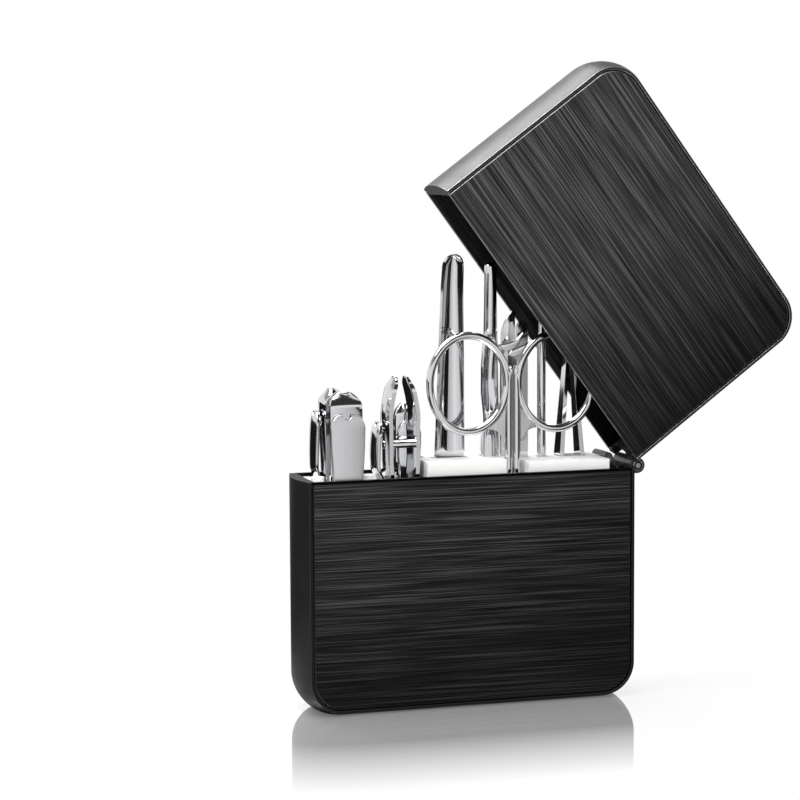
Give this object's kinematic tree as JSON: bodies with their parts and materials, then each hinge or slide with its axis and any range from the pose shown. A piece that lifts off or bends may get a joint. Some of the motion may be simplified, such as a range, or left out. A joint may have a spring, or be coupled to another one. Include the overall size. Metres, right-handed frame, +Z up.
{
  "type": "manicure set case",
  "caption": "Slim black flip-top manicure case, lid open on a side hinge, with steel nail clippers, scissors, tweezers and slim grooming tools upright in a white tray.",
  "frame": {"origin": "middle of the flat foot under the case, where it stands on a surface", "axes": "+Z up out of the tray, +X towards the hinge end, -Y towards the front plate"},
  "size_m": [0.1191, 0.0176, 0.1456],
  "materials": {
    "plate_black": "anodised, brushed along the width",
    "frame_black": "satin",
    "hinge_black": "satin",
    "steel_polished": "polished",
    "steel_satin": "satin",
    "tray_white": "slightly translucent"
  },
  "bodies": {
    "case": {"body_frame": "frame_black", "body_front_plate": "plate_black", "body_back_plate": "plate_black", "hinge_leaf_body": "hinge_black", "hinge_pin": "steel_polished", "hinge_spring": "hinge_black", "body_leaf_rivets": "hinge_black", "tray": "tray_white"},
    "lid": {"lid_frame": "frame_black", "lid_front_plate": "plate_black", "lid_back_plate": "plate_black", "hinge_leaf_lid": "hinge_black", "lid_leaf_rivets": "hinge_black"},
    "front clipper": {"front_clipper_upper_leaf": "steel_polished", "front_clipper_lower_leaf": "steel_polished", "front_clipper_lever": "steel_satin", "front_clipper_pin": "steel_polished"},
    "left clipper": {"left_clipper_upper_leaf": "steel_polished", "left_clipper_lower_leaf": "steel_polished", "left_clipper_lever": "steel_polished", "left_clipper_pin": "steel_polished"},
    "cuticle clipper": {"cuticle_clipper_upper_leaf": "steel_polished", "cuticle_clipper_lower_leaf": "steel_polished", "cuticle_clipper_lever": "steel_polished", "cuticle_clipper_pin": "steel_polished"},
    "slim clipper": {"back_clipper_upper_leaf": "steel_polished", "back_clipper_lower_leaf": "steel_polished", "back_clipper_lever": "steel_polished", "back_clipper_pin": "steel_polished"},
    "scissors": {"scissors_left_half": "steel_polished", "scissors_right_half": "steel_polished", "scissors_screw": "steel_polished"},
    "pusher": {"cuticle_pusher": "steel_polished"},
    "ear pick": {"ear_pick": "steel_polished"},
    "probe tool": {"probe": "steel_polished"},
    "knife": {"cuticle_knife": "steel_polished"},
    "file": {"nail_file": "steel_polished"},
    "cleaner": {"nail_cleaner": "steel_polished"},
    "tweezers": {"tweezers_left_arm": "steel_polished", "tweezers_right_arm": "steel_polished"}
  },
  "joints": [
    {"name": "lid_hinge", "type": "hinge", "parent": "case", "child": "lid", "pos_m": [0.0405, 0, 0.0531], "axis": [0, 1, 0], "range_deg": [-53.6, 56.4]},
    {"name": "front_clipper_lift", "type": "slide", "parent": "case", "child": "front clipper", "axis": [0, 0, 1], "range_m": [0, 0.05]},
    {"name": "left_clipper_lift", "type": "slide", "parent": "case", "child": "left clipper", "axis": [0, 0, 1], "range_m": [0, 0.05]},
    {"name": "cuticle_clipper_lift", "type": "slide", "parent": "case", "child": "cuticle clipper", "axis": [0, 0, 1], "range_m": [0, 0.05]},
    {"name": "slim_clipper_lift", "type": "slide", "parent": "case", "child": "slim clipper", "axis": [0, 0, 1], "range_m": [0, 0.05]},
    {"name": "scissors_lift", "type": "slide", "parent": "case", "child": "scissors", "axis": [0, 0, 1], "range_m": [0, 0.03]},
    {"name": "pusher_lift", "type": "slide", "parent": "case", "child": "pusher", "axis": [0.0192, 0, 0.9998], "range_m": [0, 0.015]},
    {"name": "ear_pick_lift", "type": "slide", "parent": "case", "child": "ear pick", "axis": [0, 0, 1], "range_m": [0, 0.023]},
    {"name": "probe_lift", "type": "slide", "parent": "case", "child": "probe tool", "axis": [0, 0, 1], "range_m": [0, 0.028]},
    {"name": "knife_lift", "type": "slide", "parent": "case", "child": "knife", "axis": [0, 0, 1], "range_m": [0, 0.037]},
    {"name": "file_lift", "type": "slide", "parent": "case", "child": "file", "axis": [0, 0, 1], "range_m": [0, 0.042]},
    {"name": "cleaner_lift", "type": "slide", "parent": "case", "child": "cleaner", "axis": [0, 0, 1], "range_m": [0, 0.041]},
    {"name": "tweezers_lift", "type": "slide", "parent": "case", "child": "tweezers", "axis": [0, 0, 1], "range_m": [0, 0.045]}
  ]
}
